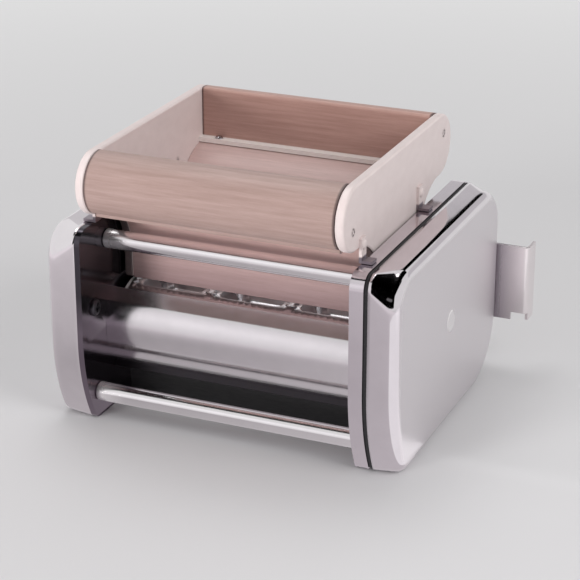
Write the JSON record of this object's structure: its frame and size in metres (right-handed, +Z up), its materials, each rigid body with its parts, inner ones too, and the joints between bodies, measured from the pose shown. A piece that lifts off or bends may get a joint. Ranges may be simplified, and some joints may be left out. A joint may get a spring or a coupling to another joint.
{
  "type": "ravioli maker",
  "caption": "Ravioli maker attachment: engraved twin drums in a chromed sheet-metal frame with tie rods, curved guards, rear brackets and a lift-out filling hopper.",
  "frame": {"origin": "under the middle of the whole object, on the surface that it stands on", "axes": "+X along the drums to the gear side, +Y to the back where the brackets are, +Z up"},
  "size_m": [0.184, 0.1406, 0.1186],
  "materials": {
    "polished_chrome": "mirror-bright chrome plate",
    "rod_steel": "polished round bar",
    "guard_steel": "polished sheet",
    "scraper_black": "black acetal, satin",
    "seal_rubber": "matt black",
    "hopper_board": "taupe wood grain, satin",
    "hopper_cheek": "cream, satin",
    "drum_metal": "bright cast and turned",
    "shaft_steel": "turned",
    "gear_steel": "cut and lightly oiled",
    "bush_bronze": "sintered bronze",
    "fastener_steel": "zinc-bright",
    "rail_metal": "pale satin strip"
  },
  "bodies": {
    "frame": {"left_side_plate": "polished_chrome", "right_side_plate": "polished_chrome", "left_cover": "polished_chrome", "gear_cover": "polished_chrome", "cover_gasket": "seal_rubber", "front_top_rod": "rod_steel", "front_bottom_rod": "rod_steel", "rear_top_rod": "rod_steel", "rear_bottom_rod": "rod_steel", "rod_nuts": "fastener_steel", "gear_cover_studs": "fastener_steel", "left_cover_studs": "fastener_steel", "cover_screws": "fastener_steel", "front_left_bush": "bush_bronze", "front_right_bush": "bush_bronze", "rear_left_bush": "bush_bronze", "rear_right_bush": "bush_bronze", "front_guard": "guard_steel", "rear_guard": "guard_steel", "front_scraper": "scraper_black", "rear_scraper": "scraper_black", "left_bracket": "polished_chrome", "right_bracket": "polished_chrome", "bracket_rivets": "fastener_steel"},
    "front_drum": {"front_drum_roller": "drum_metal", "drive_shaft": "shaft_steel", "drive_gear": "gear_steel", "crank_socket": "shaft_steel", "drive_shaft_clip": "fastener_steel"},
    "rear_drum": {"rear_drum_roller": "drum_metal", "rear_shaft": "shaft_steel", "driven_gear": "gear_steel", "rear_shaft_clips": "fastener_steel"},
    "hopper": {"left_cheek": "hopper_cheek", "right_cheek": "hopper_cheek", "front_board": "hopper_board", "rear_board": "hopper_board", "front_funnel_wall": "hopper_board", "rear_funnel_wall": "hopper_board", "hopper_rails": "rail_metal", "rail_pins": "fastener_steel", "cheek_screws": "fastener_steel", "hopper_lugs": "fastener_steel", "lug_rivets": "fastener_steel"}
  },
  "joints": [
    {"name": "front_drum_turn", "type": "hinge", "parent": "frame", "child": "front_drum", "pos_m": [0, -0.0256, 0.036], "axis": [1, 0, 0], "continuous": true},
    {"name": "rear_drum_turn", "type": "hinge", "parent": "frame", "child": "rear_drum", "pos_m": [0, 0.0089, 0.036], "axis": [1, 0, 0], "continuous": true},
    {"name": "hopper_lift", "type": "slide", "parent": "frame", "child": "hopper", "axis": [0, 0, 1], "range_m": [0, 0.045]}
  ],
  "couplings": [
    {"joint": "rear_drum_turn", "follows": "front_drum_turn", "ratio": -1}
  ]
}
